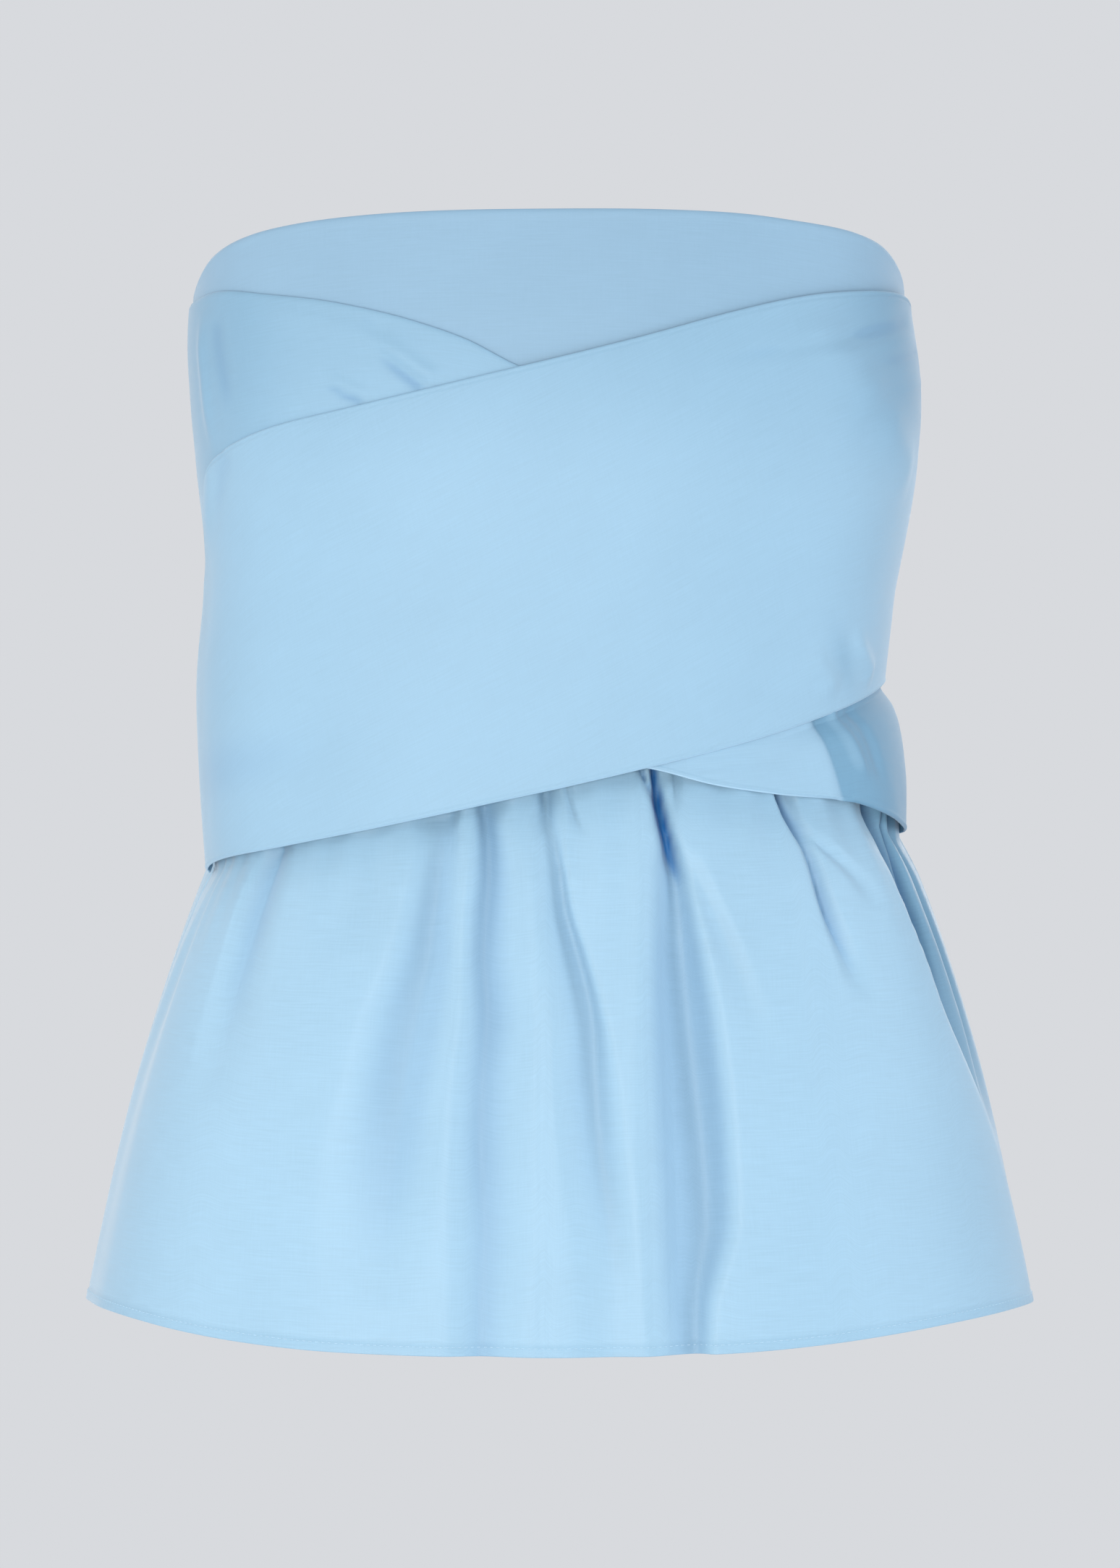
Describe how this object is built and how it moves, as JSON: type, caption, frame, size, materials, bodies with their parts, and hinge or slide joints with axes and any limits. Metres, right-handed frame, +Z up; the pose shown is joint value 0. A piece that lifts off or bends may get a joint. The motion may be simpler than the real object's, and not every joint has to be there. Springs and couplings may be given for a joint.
{
  "type": "strapless peplum top",
  "caption": "Strapless top with a straight bandeau edge, two crossed wrap panels over the front and a gathered, flared peplum.",
  "frame": {"origin": "on the body's axis at the centre of the top opening, level with the top edge under the arms", "axes": "+Z up, the front faces -Y, +X to the wearer's left"},
  "size_m": [0.4089, 0.2857, 0.4733],
  "materials": {
    "bodice_cloth": "smooth light blue woven cotton",
    "wrap_cloth": "smooth light blue woven cotton",
    "peplum_cloth": "light blue woven cotton with a fine slub"
  },
  "bodies": {
    "root": {"bodice_front": "bodice_cloth", "bodice_back": "bodice_cloth", "wrap_under": "wrap_cloth", "wrap_over": "wrap_cloth", "peplum_front": "peplum_cloth", "peplum_back": "peplum_cloth"}
  },
  "joints": []
}
